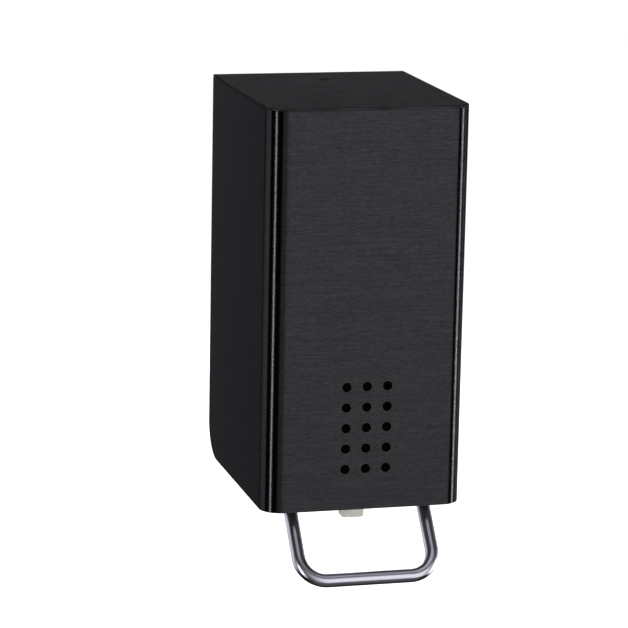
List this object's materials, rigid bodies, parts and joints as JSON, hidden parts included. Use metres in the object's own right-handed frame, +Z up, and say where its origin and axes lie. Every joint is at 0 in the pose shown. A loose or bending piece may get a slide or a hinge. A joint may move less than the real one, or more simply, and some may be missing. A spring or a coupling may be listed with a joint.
{
  "type": "soap dispenser",
  "caption": "Wall mounted soap dispenser with a lift-off brushed black steel cover, round sight holes and a bent rod push lever under the spout.",
  "frame": {"origin": "centre of the four wall screw holes, on the wall plane", "axes": "+Z up, +Y into the wall, +X to the right seen from the front; the front faces -Y"},
  "size_m": [0.108, 0.1458, 0.2489],
  "materials": {
    "black_steel": "fine horizontal brushing, black coated, satin",
    "coated_steel": "black powder coated sheet, fine orange peel",
    "stainless_rod": "polished stainless rod",
    "bright_steel": "bright zinc plated",
    "spring_steel": "blued spring steel",
    "black_plastic": "fine moulded texture",
    "smoke_plastic": "dark smoke tinted polyethylene",
    "white_plastic": "natural acetal",
    "clear_plastic": "milky translucent",
    "seal_rubber": "soft moulded"
  },
  "bodies": {
    "wall_unit": {"back_plate": "coated_steel", "shelf_bracket": "coated_steel", "bracket_rivets": "bright_steel", "pivot_bushes": "white_plastic", "pivot_axle": "bright_steel", "axle_clips": "bright_steel", "thrust_washers": "white_plastic", "bottle": "smoke_plastic", "neck_nut": "black_plastic", "neck_gasket": "seal_rubber", "pump_barrel": "white_plastic", "inlet_valve": "seal_rubber", "return_spring": "spring_steel", "latch_block": "coated_steel", "latch_screws": "bright_steel"},
    "fill_cap": {"bottle_cap": "black_plastic", "cap_seal": "seal_rubber"},
    "push_lever": {"lever_rod": "stainless_rod", "rocker_yoke": "black_plastic", "rod_grub_screws": "bright_steel"},
    "pump_piston": {"piston_stem": "white_plastic", "piston_seal": "seal_rubber", "spout_tip": "clear_plastic", "outlet_valve": "seal_rubber"},
    "latch": {"latch_leaf": "spring_steel"},
    "cover": {"cover_shell": "black_steel", "cover_lid": "black_steel", "sight_window": "smoke_plastic", "cover_guides": "coated_steel", "catch_bracket": "coated_steel"}
  },
  "joints": [
    {"name": "cover_lift", "type": "slide", "parent": "wall_unit", "child": "cover", "axis": [0, 0, 1], "range_m": [0, 0.22]},
    {"name": "lever_push", "type": "hinge", "parent": "wall_unit", "child": "push_lever", "pos_m": [0, -0.1175, -0.112], "axis": [1, 0, 0], "range_deg": [0, 22], "stiffness_Nm_per_rad": 0.16, "springref_deg": -24.06},
    {"name": "piston_stroke", "type": "slide", "parent": "wall_unit", "child": "pump_piston", "axis": [0, 0, 1], "range_m": [0, 0.0055], "deforming": ["return_spring"]},
    {"name": "cap_turn", "type": "hinge", "parent": "wall_unit", "child": "fill_cap", "pos_m": [0, -0.075, 0.06], "axis": [0, 0, 1], "range_deg": [0, 90]},
    {"name": "latch_press", "type": "hinge", "parent": "wall_unit", "child": "latch", "pos_m": [0, -0.007, 0.0654], "axis": [1, 0, 0], "range_deg": [0, 8], "stiffness_Nm_per_rad": 0.05, "springref_deg": -5.73}
  ],
  "couplings": [
    {"joint": "piston_stroke", "follows": "lever_push", "m_per_rad": 0.0143}
  ]
}
